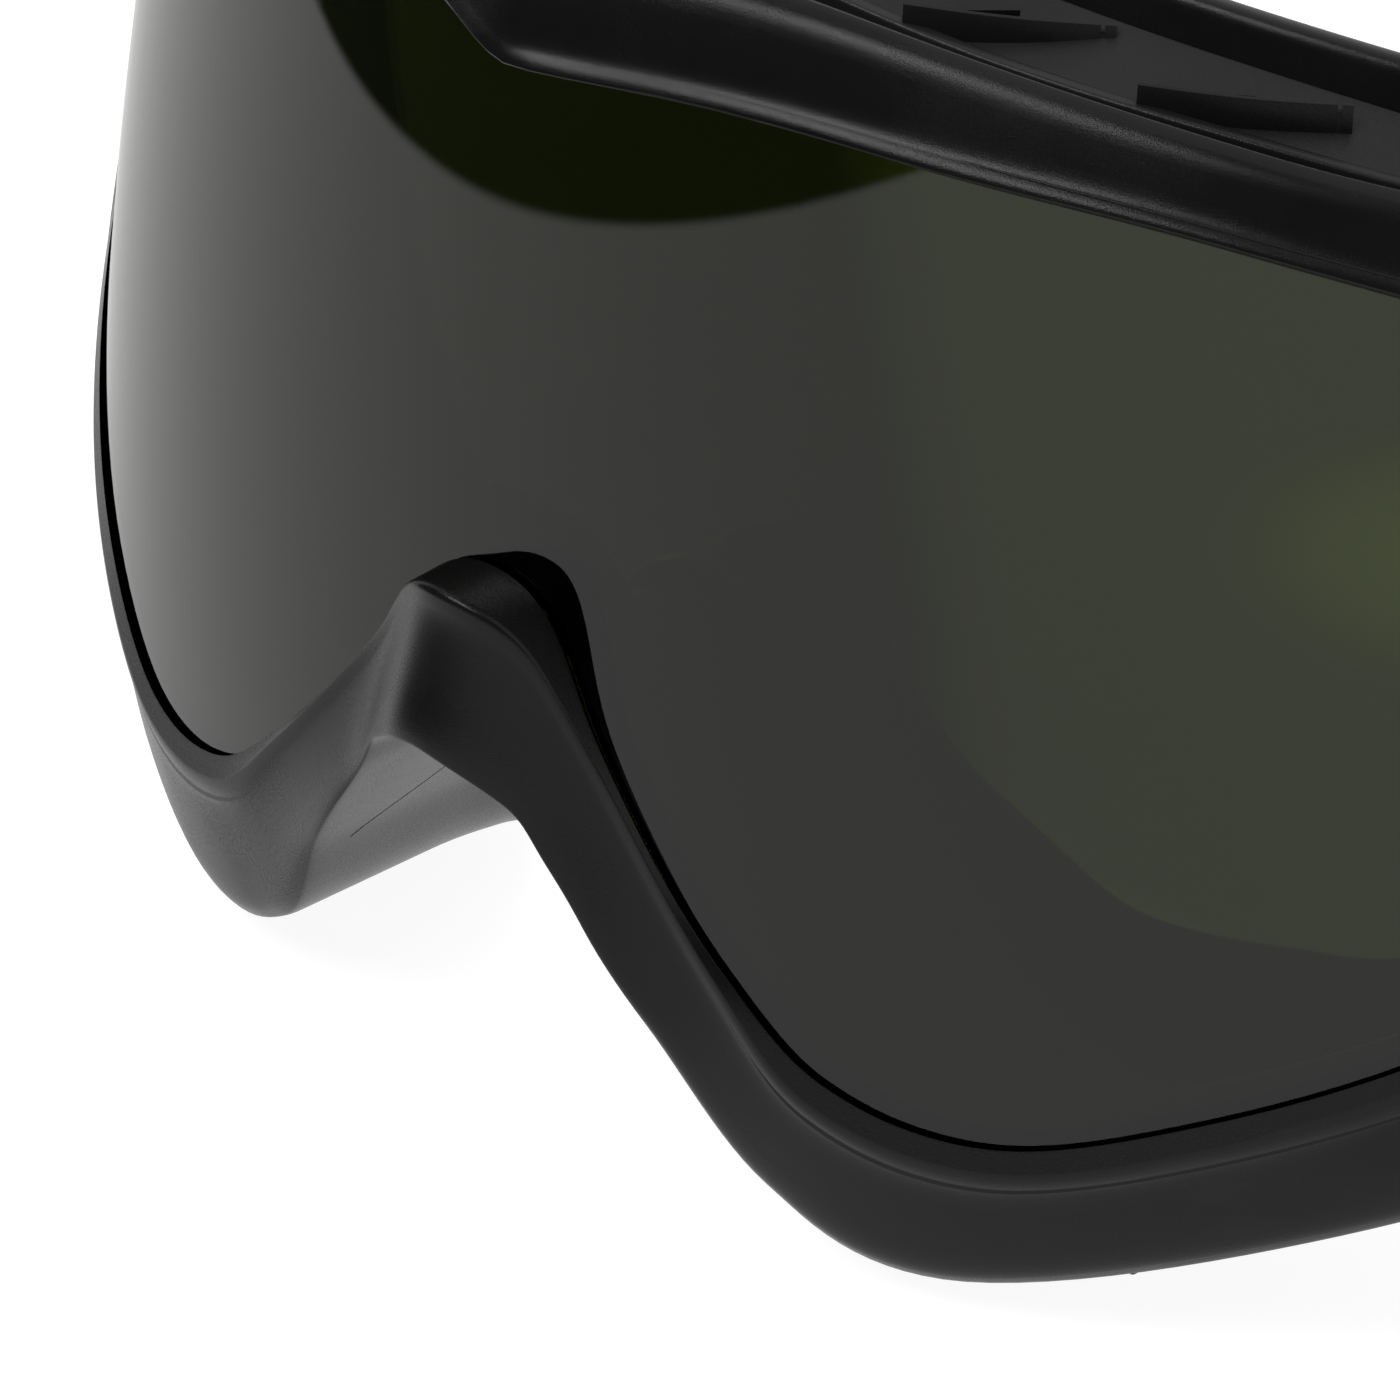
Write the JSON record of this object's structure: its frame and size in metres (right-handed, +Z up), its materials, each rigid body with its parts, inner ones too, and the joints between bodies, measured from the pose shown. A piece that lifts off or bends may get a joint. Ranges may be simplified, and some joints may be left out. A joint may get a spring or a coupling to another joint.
{
  "type": "welding goggles",
  "caption": "Black welding goggles: wrapped dark lens in a moulded frame, soft face seal, louvred brow vents, and an elastic head strap on pivoting clips.",
  "frame": {"origin": "middle of the whole goggles with their strap, on the plane they stand on", "axes": "+Z up, +Y from the lens towards the wearer's head, +X to the wearer's left"},
  "size_m": [0.2126, 0.257, 0.098],
  "materials": {
    "frame_plastic": "satin black moulded plastic with a fine grain",
    "lens_shade": "polished dark green polycarbonate",
    "seal_rubber": "soft matt black elastomer",
    "vent_foam": "open-cell charcoal foam",
    "steel": "turned steel rivet",
    "nylon": "natural nylon",
    "clip_plastic": "matt black nylon",
    "webbing": "woven elastic webbing"
  },
  "bodies": {
    "goggles": {"frame_body": "frame_plastic", "lens": "lens_shade", "face_seal": "seal_rubber", "top_vent_louvre_left": "frame_plastic", "top_vent_louvre_right": "frame_plastic", "top_vent_foam_left": "vent_foam", "top_vent_foam_right": "vent_foam", "bottom_vent_foam_right": "vent_foam", "bottom_vent_foam_left": "vent_foam", "bottom_vent_cover_left": "frame_plastic", "bottom_vent_cover_right": "frame_plastic", "pivot_pin_left": "steel", "pivot_pin_right": "steel", "pivot_washer_left": "nylon", "pivot_washer_right": "nylon"},
    "strap_and_left_clip": {"strap": "webbing", "strap_clip_left": "clip_plastic"},
    "right_clip": {"strap_clip_right": "clip_plastic"},
    "left_adjuster": {"strap_adjuster_left": "clip_plastic"},
    "right_adjuster": {"strap_adjuster_right": "clip_plastic"}
  },
  "joints": [
    {"name": "left_clip_pivot", "type": "hinge", "parent": "goggles", "child": "strap_and_left_clip", "pos_m": [0.1003, -0.042, 0.0566], "axis": [1, 0, 0], "range_deg": [-20, 60]},
    {"name": "right_clip_pivot", "type": "hinge", "parent": "goggles", "child": "right_clip", "pos_m": [-0.1003, -0.042, 0.0566], "axis": [1, 0, 0], "range_deg": [-20, 60]},
    {"name": "left_adjuster_slide", "type": "slide", "parent": "strap_and_left_clip", "child": "left_adjuster", "axis": [0, 0.967, -0.2546], "range_m": [-0.012, 0.026]},
    {"name": "right_adjuster_slide", "type": "slide", "parent": "strap_and_left_clip", "child": "right_adjuster", "axis": [0, 0.967, -0.2546], "range_m": [-0.012, 0.026]}
  ],
  "couplings": [
    {"joint": "right_clip_pivot", "follows": "left_clip_pivot", "ratio": 1}
  ]
}
